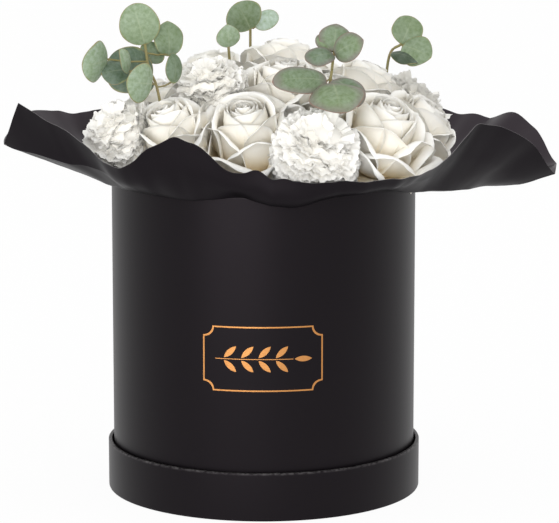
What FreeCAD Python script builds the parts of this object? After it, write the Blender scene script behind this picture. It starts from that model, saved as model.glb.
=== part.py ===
"""Round flower box standing in its own lid, with roses, carnations and eucalyptus in a paper collar."""
import FreeCAD, Part
import math
import os

from FreeCAD import Placement, Rotation, Vector

# Driving dimensions in millimetres. The origin is the centre of the underside, +Z is up and the front is -Y.
BODY_DIAMETER = 200.0
BODY_HEIGHT = 206.5
LID_DIAMETER = 207.2
LID_HEIGHT = 31.4
BOARD = 2.0
PAPER = 0.25
TURN_IN = 15.0

# Foil stamping on the front of the box
EMBLEM_WIDTH = 76.0
EMBLEM_HEIGHT = 42.0
EMBLEM_CENTRE = 105.0
EMBLEM_SCOOP = 6.0
EMBLEM_LINE = 0.9
EMBLEM_LEAF_PAIRS = 4
EMBLEM_LEAF_LENGTH = 11.0
EMBLEM_LEAF_WIDTH = 3.6
EMBLEM_LEAF_FORWARD = 7.7
EMBLEM_LEAF_RISE = 8.3
FOIL = 0.1

# Cup and foam inside the box
CUP_FOOT_RADIUS = 88.0
CUP_TOP_RADIUS = 94.6
CUP_TOP = 196.0
CUP_WALL = 0.8
FOAM_RADIUS = 86.5
FOAM_JOINT = 105.0
FOAM_SHOULDER = 192.0
FOAM_HALF_WAY = 209.0
FOAM_TOP = 214.0

# Paper collar: it lines the mouth of the box, bends over the rim and flares
COLLAR_THICKNESS = 0.6
COLLAR_RADIUS = 96.5
COLLAR_DEPTH = 40.0
COLLAR_CREST_RISE = 1.4
COLLAR_OUTER_RADIUS = 101.4
COLLAR_OUTER_RISE = 0.6

# Rows of the collar, anticlockwise from +X: angle, belly reach, belly height, edge reach, edge height
COLLAR_ROWS = [
    (-170.0, 117.0, 211.5, 170.5, 232.5),
    (-162.0, 114.0, 210.5, 164.5, 262.5),
    (-155.0, 110.0, 209.0, 148.0, 251.5),
    (-147.0, 107.0, 208.0, 135.5, 239.0),
    (-135.5, 106.0, 207.5, 128.0, 226.0),
    (-127.0, 105.5, 207.0, 126.0, 236.0),
    (-117.0, 105.0, 207.0, 121.0, 248.0),
    (-109.0, 104.5, 208.0, 117.0, 241.0),
    (-98.0, 103.5, 210.0, 113.5, 226.0),
    (-92.0, 105.0, 207.0, 112.0, 227.5),
    (-86.0, 106.0, 204.5, 113.0, 223.0),
    (-80.0, 106.5, 203.5, 115.0, 222.0),
    (-69.0, 106.0, 207.5, 119.0, 221.0),
    (-58.0, 107.0, 209.5, 124.0, 220.0),
    (-49.0, 108.0, 210.0, 130.0, 220.5),
    (-40.0, 111.0, 208.5, 136.0, 222.5),
    (-35.0, 113.0, 207.0, 139.0, 228.5),
    (-29.0, 116.0, 206.0, 145.0, 240.5),
    (-22.5, 120.0, 205.5, 151.0, 250.0),
    (-17.5, 124.0, 204.5, 159.0, 247.5),
    (-13.0, 128.0, 204.0, 168.0, 241.0),
    (-7.0, 134.0, 204.0, 179.0, 227.5),
    (0.0, 138.0, 203.5, 192.0, 209.0),
    (5.5, 138.0, 204.0, 195.5, 213.0),
    (14.0, 132.0, 206.0, 186.5, 233.0),
    (18.0, 128.0, 207.0, 178.0, 242.5),
    (24.0, 122.0, 208.0, 168.0, 237.0),
    (31.0, 118.0, 209.0, 158.0, 238.0),
    (45.0, 112.0, 209.0, 140.0, 244.0),
    (60.0, 108.0, 209.0, 130.0, 236.0),
    (75.0, 107.0, 208.0, 126.0, 246.0),
    (90.0, 107.0, 208.0, 126.0, 238.0),
    (105.0, 107.0, 208.0, 126.0, 244.0),
    (120.0, 108.0, 209.0, 127.0, 236.0),
    (138.5, 110.0, 210.0, 128.5, 245.0),
    (151.0, 112.0, 210.5, 136.0, 240.0),
    (160.0, 116.0, 211.0, 146.0, 243.5),
    (169.0, 118.0, 211.5, 156.5, 247.0),
    (180.0, 118.0, 211.5, 169.0, 234.0),
]
# Fold of the turned-up left flap, by angle: reach, height. Elsewhere the panel only bulges by COLLAR_BULGE.
COLLAR_FOLDS = {-162.0: (151.0, 228.0), -155.0: (134.0, 224.5), -147.0: (123.0, 221.0)}
COLLAR_BULGE = 2.5

# Flower heads sit side by side with this gap, and their stems stand in the foam
HEAD_GAP = 0.4
HEAD_REACH = 1.3
MODEL_RADIUS = 30.0
STEM_RADIUS = 2.2
STEM_LENGTH = 40.0

# Rose, in parts of its head radius: bud outline (reach, height), then the rings of petals
ROSE_HEIGHT = 1.5
ROSE_BUD = [(0.0, 0.05), (0.24, 0.12), (0.34, 0.6), (0.3, 1.1), (0.14, 1.42), (0.0, 1.36)]
ROSE_PETAL = 0.045
# Rings: petals, spread in degrees, belly reach and height, lip reach and height, first turn
ROSE_RINGS = [
    (3, 125.0, 0.42, 0.75, 0.3, 1.45, 20.0),
    (4, 105.0, 0.58, 0.7, 0.52, 1.42, 65.0),
    (5, 88.0, 0.76, 0.66, 0.8, 1.32, 10.0),
    (5, 98.0, 0.95, 0.54, 1.18, 1.06, 46.0),
]
ROSE_PINWHEEL = 10.0
ROSE_FOOT = (0.14, 0.06)
ROSE_OVAL = 0.62

# Carnation, in parts of its head radius: tiers of frills as (reach, height), and the frill's teeth
CARNATION_HEIGHT = 1.95
CARNATION_TIERS = [
    (0.2, 0.0), (0.26, 0.65), (0.78, 0.86), (1.0, 1.1), (0.8, 1.22), (0.93, 1.46),
    (0.66, 1.52), (0.74, 1.74), (0.42, 1.76), (0.46, 1.92), (0.16, 1.86),
]
CARNATION_TEETH = 14
CARNATION_FRILL = 0.07

# Flowers: centre of the face (x, y, z), lean of the axis (x, y), head radius, turn
ROSES = {
    "rose_01": ((-13, -68, 266), (-0.09, -0.46), 36.0, 0.0),
    "rose_02": ((85, -56, 265), (0.38, -0.30), 35.0, 40.0),
    "rose_03": ((113, -8, 256), (0.66, -0.08), 32.0, 15.0),
    "rose_04": ((-65, -62, 264), (-0.30, -0.34), 31.0, 75.0),
    "rose_05": ((14, -22, 290), (0.02, -0.16), 34.0, 110.0),
    "rose_06": ((-72, -12, 271), (-0.42, 0.0), 30.0, 150.0),
    "rose_07": ((-42, 24, 289), (-0.26, 0.14), 32.0, 20.0),
    "rose_08": ((14, 36, 297), (0.05, 0.15), 33.0, 65.0),
    "rose_09": ((74, 12, 283), (0.38, 0.05), 32.0, 95.0),
    "rose_10": ((49, -28, 279), (0.20, -0.16), 27.0, 130.0),
    "rose_11": ((-84, 44, 262), (-0.55, 0.28), 31.0, 55.0),
    "rose_12": ((8, 84, 269), (0.05, 0.46), 33.0, 5.0),
    "rose_13": ((62, 70, 268), (0.38, 0.42), 32.0, 85.0),
}
CARNATIONS = {
    "carnation_1": ((38, -95, 255), (0.20, -0.56), 29.0, 0.0),
    "carnation_2": ((-100, -53, 258), (-0.50, -0.27), 28.0, 8.0),
    "carnation_3": ((-37, -24, 286), (-0.22, -0.14), 27.0, 16.0),
    "carnation_4": ((-54, 92, 260), (-0.34, 0.52), 29.0, 4.0),
    "carnation_5": ((107, 42, 262), (0.54, 0.24), 30.0, 12.0),
}

# Eucalyptus: stem points from the foam up, then leaves as foot, tip, width and the way the face looks
TWIG_RADIUS = 1.1
PETIOLE_RADIUS = 0.7
LEAF_THICKNESS = 0.8
LEAF_CUP = 1.1
LEAF_ROOT = 0.08
TWIG_CLEARANCE = 0.6
TWIG_STEPS = 10
SPRIGS = {
    "eucalyptus_left": (
        [(-50, -34, 190), (-62, -42, 240), (-68, -48, 272), (-73, -44, 283), (-76, -34, 298)],
        [
            ((-76, -33, 298), (-83, -34, 324), 26.0, (0.0, -1.0, 0.1)),
            ((-61, -30, 290), (-62, -26, 312), 20.0, (0.3, -1.0, 0.1)),
            ((-100, -52, 291), (-114, -70, 289), 27.0, (0.8, -0.6, -0.2)),
            ((-72, -40, 275), (-100, -32, 287), 31.0, (0.1, -1.0, 0.3)),
            ((-86, -58, 283), (-91, -66, 298), 12.0, (0.9, -0.5, 0.1)),
            ((-71, -60, 276), (-86, -74, 279), 26.0, (0.6, -0.8, -0.1)),
            ((-86, -50, 283), (-103, -56, 281), 18.0, (0.0, -0.8, 0.5)),
            ((-75, -32, 287), (-68, -27, 297), 17.0, (0.2, -1.0, 0.2)),
            ((-58, -44, 274), (-58, -40, 293), 14.0, (0.7, -0.7, 0.0)),
            ((-70, -54, 275), (-85, -56, 271), 14.0, (0.0, -0.7, 0.6)),
        ],
    ),
    "eucalyptus_back_left": (
        [(-14, 12, 190), (-20, 8, 255), (-23, 4, 293)],
        [((-23, 4, 292), (-24, 2, 307), 16.0, (0.3, -1.0, 0.1))],
    ),
    "eucalyptus_top": (
        [(-8, 48, 190), (-9, 52, 262), (-9, 49, 300)],
        [
            ((-9, 48, 299), (-18, 44, 317), 25.0, (0.1, -1.0, 0.2)),
            ((-6, 52, 300), (9, 60, 308), 13.0, (-0.2, -1.0, 0.2)),
        ],
    ),
    "eucalyptus_centre": (
        [(30, -46, 190), (38, -54, 245), (43, -64, 280), (44, -58, 286), (45, -47, 293)],
        [
            ((45, -44, 294), (47, -36, 311), 21.0, (0.0, -1.0, 0.3)),
            ((46, -47, 293), (64, -56, 303), 19.0, (-0.2, -0.9, 0.4)),
            ((45, -49, 293), (27, -60, 290), 15.0, (-0.2, -0.8, 0.6)),
            ((43, -44, 295), (35, -38, 304), 10.0, (0.3, -1.0, 0.2)),
            ((46, -66, 279), (60, -84, 264), 22.0, (0.3, -0.8, 0.4)),
            ((44, -72, 277), (49, -98, 262), 34.0, (0.0, -0.7, 0.7)),
            ((40, -68, 278), (6, -86, 280), 19.0, (0.2, -0.8, 0.5)),
        ],
    ),
    "eucalyptus_right": (
        [(70, -6, 190), (79, 14, 250), (83, 20, 284), (91, 21, 292)],
        [
            ((91, 21, 292), (99, 26, 309), 21.0, (0.0, -1.0, 0.2)),
            ((92, 18, 291), (110, 10, 284), 22.0, (0.3, -0.9, 0.3)),
            ((84, 16, 286), (102, 8, 281), 12.0, (0.0, -0.6, 0.8)),
        ],
    ),
}

# Worked out from the dimensions above
BODY_RADIUS = BODY_DIAMETER / 2
LID_RADIUS = LID_DIAMETER / 2
BODY_FLOOR = BOARD + 2 * PAPER
RIM = BODY_FLOOR + BODY_HEIGHT
BASE_TOP = BODY_FLOOR + PAPER + BOARD
WALL = BOARD + 2 * PAPER
UP = Vector(0, 0, 1)


def disc(radius, bottom, thickness):
    return Part.makeCylinder(radius, thickness, Vector(0, 0, bottom))


def tube(outer, inner, bottom, top):
    return disc(outer, bottom, top - bottom).cut(disc(inner, bottom, top - bottom))


def turned(outline):
    """Solid of revolution about Z from a closed outline of (reach, height) points."""
    points = [Vector(reach, 0, height) for reach, height in outline]
    face = Part.Face(Part.makePolygon(points + points[:1]))
    return face.revolve(Vector(), UP, 360)


def cover_paper(radius, bottom, top):
    """Paper round a board wall, bent over its edge and turned in on the inside."""
    inner = radius - WALL
    return turned([
        (radius, bottom), (radius, top), (inner, top), (inner, top - TURN_IN),
        (inner + PAPER, top - TURN_IN), (inner + PAPER, top - PAPER), (radius - PAPER, top - PAPER),
        (radius - PAPER, bottom),
    ])


def lid():
    return {
        "lid_face_paper": disc(LID_RADIUS - PAPER, 0, PAPER),
        "lid_board_disc": disc(LID_RADIUS - PAPER - BOARD, PAPER, BOARD),
        "lid_board_band": tube(LID_RADIUS - PAPER, LID_RADIUS - PAPER - BOARD, PAPER, LID_HEIGHT - PAPER),
        "lid_cover_paper": cover_paper(LID_RADIUS, 0, LID_HEIGHT),
        "lid_lining": disc(LID_RADIUS - PAPER - BOARD, PAPER + BOARD, PAPER),
    }


def box():
    board_outer = BODY_RADIUS - PAPER
    board_inner = board_outer - BOARD
    return {
        "box_base_paper": disc(board_outer, BODY_FLOOR, PAPER),
        "box_base": disc(board_inner, BODY_FLOOR + PAPER, BOARD),
        "box_tube": tube(board_outer, board_inner, BODY_FLOOR + PAPER, RIM - PAPER),
        "box_cover_paper": cover_paper(BODY_RADIUS, BODY_FLOOR, RIM),
        "box_lining": tube(board_inner, board_inner - PAPER, BASE_TOP, RIM - TURN_IN),
        "foil_emblem": emblem(),
    }


def scooped_frame(width, height, scoop):
    """Face in the XZ plane: a rectangle whose four corners are hollowed by quarter circles."""
    edges = []
    last = None
    for turn, (right, top) in enumerate([(1, 1), (-1, 1), (-1, -1), (1, -1)]):
        corner = Vector(right * width / 2, 0, top * height / 2)
        sideways = Vector(-right * scoop, 0, 0)
        upright = Vector(0, 0, -top * scoop)
        first, second = (upright, sideways) if turn % 2 == 0 else (sideways, upright)
        middle = corner + (sideways + upright) * math.sqrt(0.5)
        if last:
            edges.append(Part.makeLine(last, corner + first))
        edges.append(Part.Arc(corner + first, middle, corner + second).toShape())
        last = corner + second
    edges.append(Part.makeLine(last, edges[0].firstVertex(True).Point))
    return Part.Face(Part.Wire(edges))


def leaf_mark(foot, tip, width):
    """Pointed leaf in the XZ plane, bounded by two arcs."""
    along = tip - foot
    side = Vector(-along.z, 0, along.x).normalize() * (width / 2)
    middle = (foot + tip) / 2
    upper = Part.Arc(foot, middle + side, tip).toShape()
    lower = Part.Arc(tip, middle - side, foot).toShape()
    return Part.Face(Part.Wire([upper, lower]))


def emblem():
    """Scooped frame with a leafy twig, as foil that lies on the wall of the box."""
    inner_width = EMBLEM_WIDTH - 2 * EMBLEM_LINE
    inner_height = EMBLEM_HEIGHT - 2 * EMBLEM_LINE
    frame = scooped_frame(EMBLEM_WIDTH, EMBLEM_HEIGHT, EMBLEM_SCOOP)
    marks = [frame.cut(scooped_frame(inner_width, inner_height, EMBLEM_SCOOP))]
    step = EMBLEM_LEAF_LENGTH
    start = -step * (EMBLEM_LEAF_PAIRS + 0.5) / 2
    end = start + step * EMBLEM_LEAF_PAIRS
    twig_corner = Vector(start - step / 2, 0, -EMBLEM_LINE / 4)
    twig_length = end - start + step / 2
    marks.append(Part.makePlane(twig_length, EMBLEM_LINE / 2, twig_corner, Vector(0, -1, 0), Vector(1, 0, 0)))
    for pair in range(EMBLEM_LEAF_PAIRS):
        foot = start + pair * step
        for side in (1, -1):
            root = Vector(foot, 0, side * EMBLEM_LINE)
            tip = Vector(foot + EMBLEM_LEAF_FORWARD, 0, side * EMBLEM_LEAF_RISE)
            marks.append(leaf_mark(root, tip, EMBLEM_LEAF_WIDTH))
    end_leaf = Vector(end + EMBLEM_LINE, 0, 0)
    marks.append(leaf_mark(end_leaf, end_leaf + Vector(step, 0, 0), EMBLEM_LEAF_WIDTH))
    skin = tube(BODY_RADIUS + FOIL, BODY_RADIUS, BODY_FLOOR, RIM)
    shift = Vector(0, -BODY_RADIUS / 2, EMBLEM_CENTRE)
    pieces = []
    for mark in marks:
        block = mark.translated(shift).extrude(Vector(0, -BODY_RADIUS, 0))
        pieces += skin.common(block).Solids
    return Part.makeCompound(pieces)


def liner_cup():
    return turned([
        (0, BASE_TOP), (CUP_FOOT_RADIUS, BASE_TOP), (CUP_TOP_RADIUS, CUP_TOP),
        (CUP_TOP_RADIUS - CUP_WALL, CUP_TOP), (CUP_FOOT_RADIUS - CUP_WALL, BASE_TOP + CUP_WALL),
        (0, BASE_TOP + CUP_WALL),
    ])


def foam_block():
    """Upper foam with a domed top."""
    foot = Vector(FOAM_RADIUS, 0, FOAM_JOINT)
    shoulder = Vector(FOAM_RADIUS, 0, FOAM_SHOULDER)
    top = Vector(0, 0, FOAM_TOP)
    centre = Vector(0, 0, FOAM_JOINT)
    half_way = Vector(FOAM_RADIUS / 2, 0, FOAM_HALF_WAY)
    edges = [
        Part.makeLine(centre, foot), Part.makeLine(foot, shoulder),
        Part.Arc(shoulder, half_way, top).toShape(), Part.makeLine(top, centre),
    ]
    return Part.Face(Part.Wire(edges)).revolve(Vector(), UP, 360)


def collar_line(row):
    """Middle of the paper at one angle, as (reach, height) points from inside the box to the free edge."""
    angle, belly_reach, belly_height, edge_reach, edge_height = row
    bulged = ((belly_reach + edge_reach) / 2 + COLLAR_BULGE, (belly_height + edge_height) / 2 - COLLAR_BULGE)
    crest = ((COLLAR_RADIUS + COLLAR_OUTER_RADIUS) / 2, RIM + COLLAR_CREST_RISE)
    return [
        (COLLAR_RADIUS, RIM - COLLAR_DEPTH), (COLLAR_RADIUS, RIM), crest,
        (COLLAR_OUTER_RADIUS, RIM + COLLAR_OUTER_RISE), (belly_reach, belly_height),
        COLLAR_FOLDS.get(angle, bulged), (edge_reach, edge_height),
    ]


def thickened(line, thickness):
    """Closed outline of a strip: the line set off by half the thickness to each side."""
    sides = ([], [])
    for index, (reach, height) in enumerate(line):
        before = line[max(index - 1, 0)]
        after = line[min(index + 1, len(line) - 1)]
        length = math.hypot(after[0] - before[0], after[1] - before[1])
        normal = ((before[1] - after[1]) / length, (after[0] - before[0]) / length)
        for side, sign in zip(sides, (0.5, -0.5)):
            side.append((reach + sign * thickness * normal[0], height + sign * thickness * normal[1]))
    return sides[0] + sides[1][::-1]


def collar():
    """Sheet with flat facets between the rows, closed round the box. Both sides are split along the same lines."""
    rings = []
    for row in COLLAR_ROWS:
        angle = math.radians(row[0])
        outline = thickened(collar_line(row), COLLAR_THICKNESS)
        rings.append([Vector(reach * math.cos(angle), reach * math.sin(angle), z) for reach, z in outline])
    faces = []
    for ring, following in zip(rings, rings[1:] + rings[:1]):
        for here in range(len(ring)):
            there = (here + 1) % len(ring)
            halves = [(ring[here], following[here], following[there]), (ring[here], following[there], ring[there])]
            if here >= len(ring) // 2:
                halves = [(ring[here], following[here], ring[there]), (following[here], following[there], ring[there])]
            for corners in halves:
                faces.append(Part.Face(Part.makePolygon(list(corners) + [corners[0]])))
    return Part.makeSolid(Part.makeShell(faces))


def spline_face(points):
    """Face in the XZ plane bounded by a smooth line through the points and a straight closing line."""
    curve = Part.BSplineCurve()
    curve.interpolate([Vector(reach, 0, height) for reach, height in points])
    first = Vector(points[0][0], 0, points[0][1])
    last = Vector(points[-1][0], 0, points[-1][1])
    return Part.Face(Part.Wire([curve.toShape(), Part.makeLine(last, first)]))


def oval(middle, one_half, other_half):
    """Elliptical face with the given half axes."""
    longer, shorter = sorted([one_half, other_half], key=lambda half: -half.Length)
    ellipse = Part.Ellipse(middle + longer, middle + shorter, middle)
    return Part.Face(Part.Wire(ellipse.toShape()))


def rose_petal(radius, spread, belly, lip):
    """Cupped petal about the X axis: a shell of revolution cut to a round outline."""
    foot = (ROSE_FOOT[0] * radius, ROSE_FOOT[1] * radius)
    thickness = ROSE_PETAL * radius
    outer = [Vector(reach, 0, height) for reach, height in (foot, belly, lip)]
    inner = [point - Vector(thickness, 0, 0) for point in outer]
    inner[0] = outer[0] + Vector(0, 0, thickness)
    edges = [
        Part.Arc(*outer).toShape(), Part.makeLine(outer[2], inner[2]),
        Part.Arc(*inner[::-1]).toShape(), Part.makeLine(inner[0], outer[0]),
    ]
    shell = Part.Face(Part.Wire(edges)).revolve(Vector(), UP, spread)
    shell.rotate(Vector(), UP, -spread / 2)
    half_width = max(belly[0], lip[0]) * math.sin(math.radians(spread / 2))
    half_height = ROSE_OVAL * lip[1]
    middle = Vector(0, 0, lip[1] - half_height)
    outline = oval(middle, Vector(0, half_width, 0), Vector(0, 0, half_height))
    petal = shell.common(outline.extrude(Vector(2 * radius, 0, 0)))
    petal.rotate(Vector(belly[0], 0, 0), UP, ROSE_PINWHEEL)
    return petal


def rose_head(radius):
    """Bud with rings of petals, foot at the origin, opening along +Z."""
    bud = spline_face([(reach * radius, height * radius) for reach, height in ROSE_BUD])
    petals = []
    for count, spread, belly_reach, belly_height, lip_reach, lip_height, first in ROSE_RINGS:
        belly = (belly_reach * radius, belly_height * radius)
        petal = rose_petal(radius, spread, belly, (lip_reach * radius, lip_height * radius))
        for index in range(count):
            petals.append(petal.rotated(Vector(), UP, first + index * 360.0 / count))
    return bud.revolve(Vector(), UP, 360).fuse(petals)


def carnation_head(radius):
    """Ball of toothed frills in tiers, on a narrow throat, foot at the origin."""
    rings = []
    for tier, (reach, height) in enumerate(CARNATION_TIERS):
        ring = []
        for tooth in range(2 * CARNATION_TEETH):
            angle = math.pi * (tooth + 0.5 * (tier % 2)) / CARNATION_TEETH
            frill = CARNATION_FRILL if tooth % 2 else -CARNATION_FRILL
            out = reach * radius * (1 + frill)
            ring.append(Vector(out * math.cos(angle), out * math.sin(angle), height * radius))
        rings.append(Part.makePolygon(ring + ring[:1]))
    return Part.makeLoft(rings, True, True)


def axis_of(lean):
    return Vector(lean[0], lean[1], math.sqrt(1 - lean[0] ** 2 - lean[1] ** 2))


def foot_of(flower, height):
    """Where the head meets its stem."""
    centre, lean, radius, turn = flower
    return Vector(*centre) - axis_of(lean) * (height * radius)


def placed(head, flower, height):
    centre, lean, radius, turn = flower
    spin = Rotation(UP, turn)
    tilt = Rotation(UP, axis_of(lean))
    head.Placement = Placement(foot_of(flower, height), tilt.multiply(spin))
    return head


def stem_of(flower, height):
    foot = foot_of(flower, height)
    axis = axis_of(flower[1])
    return Part.makeCylinder(STEM_RADIUS, STEM_LENGTH + STEM_RADIUS, foot - axis * STEM_LENGTH, axis)


def beyond(point, direction):
    """Half space that starts at the point, as a large block."""
    size = 4 * BODY_DIAMETER
    block = Part.makeBox(size, size, size, Vector(-size / 2, -size / 2, 0))
    block.Placement = Placement(point, Rotation(UP, direction))
    return block


def largest(shape):
    return max(shape.Solids, key=lambda solid: solid.Volume)


def pressed_heads(heads, centres, radii):
    """Heads trimmed by flat faces where neighbours press against each other."""
    pressed = {}
    for name, head in heads.items():
        blocks = []
        for other in heads:
            between = centres[other] - centres[name]
            if other == name or between.Length > HEAD_REACH * (radii[name] + radii[other]):
                continue
            share = radii[name] / (radii[name] + radii[other])
            contact = centres[name] + between * share - between.normalize() * (HEAD_GAP / 2)
            blocks.append(beyond(contact, between))
        pressed[name] = largest(head.cut(blocks)) if blocks else head
    return pressed


def twig(points, radius):
    """Round twig through the points, with a ball at every bend."""
    pieces = []
    for start, end in zip(points, points[1:]):
        run = Vector(*end) - Vector(*start)
        pieces.append(Part.makeCylinder(radius, run.Length, Vector(*start), run))
        pieces.append(Part.makeSphere(radius, Vector(*end)))
    return pieces[0].fuse(pieces[1:])


def leaf(foot, tip, width, face):
    """Round cupped leaf: a spherical shell cut to an ellipse."""
    along = Vector(*tip) - Vector(*foot)
    length = along.Length
    along.normalize()
    across = Vector(*face).cross(along).normalize()
    outward = along.cross(across)
    ball = LEAF_CUP * max(length, width)
    sink = math.sqrt(ball ** 2 - (length / 2) ** 2)
    centre = Vector(length / 2, 0, -sink)
    shell = Part.makeSphere(ball, centre).cut(Part.makeSphere(ball - LEAF_THICKNESS, centre))
    middle = Vector(length / 2, 0, -length)
    prism = oval(middle, Vector(length / 2, 0, 0), Vector(0, width / 2, 0)).extrude(Vector(0, 0, 3 * length))
    blade = largest(shell.common(prism))
    blade.Placement = Placement(Vector(*foot), Rotation(along, across, outward, "XZY"))
    return blade


def nearest_on(points, target):
    """Point of the twig's upper half closest to the target."""
    closest = None
    for start, end in zip(points[1:], points[2:]):
        for step in range(TWIG_STEPS + 1):
            point = Vector(*start) + (Vector(*end) - Vector(*start)) * (step / TWIG_STEPS)
            if closest is None or (point - target).Length < (closest - target).Length:
                closest = point
    return closest


def sprig(points, leaves):
    pieces = []
    for foot, tip, width, face in leaves:
        blade_root = Vector(*foot) + (Vector(*tip) - Vector(*foot)) * LEAF_ROOT
        node = nearest_on(points, blade_root)
        petiole = blade_root - node
        pieces.append(leaf(foot, tip, width, face))
        if petiole.Length > TWIG_RADIUS:
            pieces.append(Part.makeCylinder(PETIOLE_RADIUS, petiole.Length, node, petiole))
    return twig(points, TWIG_RADIUS).fuse(pieces)


def flowers():
    """Every rose, carnation and sprig, and the stems that need holes in the foam."""
    heads = {}
    stems = {}
    centres = {}
    radii = {}
    for table, model, height in ((ROSES, rose_head(MODEL_RADIUS), ROSE_HEIGHT),
                                 (CARNATIONS, carnation_head(MODEL_RADIUS), CARNATION_HEIGHT)):
        for name, flower in table.items():
            radius = flower[2]
            heads[name] = placed(model.scaled(radius / MODEL_RADIUS), flower, height)
            stems[name] = stem_of(flower, height)
            centres[name] = Vector(*flower[0]) - axis_of(flower[1]) * (radius / 2)
            radii[name] = radius
    pieces = pressed_heads(heads, centres, radii)
    twigs = {name: twig(points, TWIG_RADIUS) for name, (points, leaves) in SPRIGS.items()}
    rooms = [twig(points, TWIG_RADIUS + TWIG_CLEARANCE) for points, leaves in SPRIGS.values()]
    for name, head in pieces.items():
        near = [room for room in rooms if room.BoundBox.intersect(head.BoundBox)]
        pieces[name] = largest(head.cut(near)).fuse(stems[name]) if near else head.fuse(stems[name])
    for name, (points, leaves) in SPRIGS.items():
        pieces[name] = sprig(points, leaves)
    return pieces, list(stems.values()) + list(twigs.values())


def arrangement():
    pieces, stems = flowers()
    pieces["liner_cup"] = liner_cup()
    pieces["foam_lower"] = disc(FOAM_RADIUS, BASE_TOP + CUP_WALL, FOAM_JOINT - BASE_TOP - CUP_WALL)
    pieces["foam_upper"] = foam_block().cut(stems)
    pieces["paper_collar"] = collar()
    return pieces


def main():
    os.makedirs("parts", exist_ok=True)
    for group in (lid(), box(), arrangement()):
        for name, shape in group.items():
            shape.exportStep("parts/" + name + ".step")
            print(name, len(shape.Solids), shape.isValid(), round(shape.Volume))


main()
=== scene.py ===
"""Looks of a round flower box: paper-covered card, foil, a paper collar, roses, carnations and eucalyptus."""

import math
import random

import bpy
from mathutils import Matrix, Quaternion, Vector, noise


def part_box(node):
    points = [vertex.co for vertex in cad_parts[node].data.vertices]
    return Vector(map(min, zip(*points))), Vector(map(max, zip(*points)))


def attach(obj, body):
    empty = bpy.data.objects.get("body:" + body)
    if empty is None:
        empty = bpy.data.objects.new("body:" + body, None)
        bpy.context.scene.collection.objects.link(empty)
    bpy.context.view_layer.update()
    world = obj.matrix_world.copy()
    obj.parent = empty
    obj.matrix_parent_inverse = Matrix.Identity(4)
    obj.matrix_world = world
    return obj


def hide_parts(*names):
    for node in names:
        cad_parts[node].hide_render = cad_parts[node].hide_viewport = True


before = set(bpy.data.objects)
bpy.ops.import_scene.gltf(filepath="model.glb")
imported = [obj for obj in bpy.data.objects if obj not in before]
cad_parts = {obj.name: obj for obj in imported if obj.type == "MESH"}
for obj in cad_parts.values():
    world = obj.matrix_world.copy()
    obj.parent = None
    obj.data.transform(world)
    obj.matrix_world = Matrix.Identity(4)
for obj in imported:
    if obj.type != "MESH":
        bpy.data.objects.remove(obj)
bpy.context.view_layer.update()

# Sizes in metres, read from the frame apart from the paper's thickness
PAPER = 0.00025
LID_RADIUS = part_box("lid_cover_paper")[1][0]
LID_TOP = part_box("lid_cover_paper")[1][2]
BODY_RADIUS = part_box("box_cover_paper")[1][0]
BODY_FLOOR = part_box("box_cover_paper")[0][2]
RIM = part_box("box_cover_paper")[1][2]
LINING_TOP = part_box("box_lining")[1][2]
TURN_IN = RIM - LINING_TOP
LID_TURN_IN = LID_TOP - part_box("lid_lining")[1][2]
WALL = BODY_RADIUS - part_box("box_lining")[1][0] + PAPER
COLLAR_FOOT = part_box("paper_collar")[0][2]
UP = Vector((0, 0, 1))
MM = 0.001

# Camera, as the photograph was taken
PICTURE_WIDTH = 559
FOCAL_PIXELS = 3087.5
CAMERA_PLACE = (0.0105, -2.0112, 0.5189)
CAMERA_DOWN = 10.40

# Floor, world and lamps
FLOOR_GLOW = 0.95
FLOOR_SIZE = 30.0
FLOOR_LEVEL = -0.0003
WORLD_LEVEL = 0.97
# Lamps: place, target, width, height, watts
LAMPS = {
    "key": ((-0.50, -1.40, 0.17), (0.0, 0.0, 0.14), 1.30, 0.32, 7.2),
    "top": ((0.1, -0.3, 1.5), (0.0, 0.0, 0.25), 1.4, 1.2, 0.3),
    "fill": ((0.45, -1.75, 0.85), (0.0, 0.0, 0.24), 2.0, 1.4, 6.0),
    "back": ((0.2, 1.4, 1.2), (0.0, 0.0, 0.25), 1.4, 1.0, 0.8),
}

# Card and cover paper, in metres and degrees
PLUM = (1.0, 0.86, 0.97, 1.0)
LATHE_STEPS = 240
EDGE_ROUND = 0.0007
# Depth of the pale band along the top edges, which is wear together with a painted highlight
WEAR_AND_GLINT_DEPTH = 0.0016
SEAM_ANGLE = 90.0
SEAM_WIDTH = 0.012
FOOT_TURN = 0.004
UNEVEN = 0.00012
UNEVEN_ROUND = 2.2
UNEVEN_UP = 14.0
# Pale patches along the top edges, wear together with a painted highlight: their patchiness, then their
# strength on the lid and on the box
WEAR_AND_GLINT_ROUND = 9.0
LID_WEAR_AND_GLINT = 1.0
BOX_WEAR_AND_GLINT = 0.5

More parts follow.
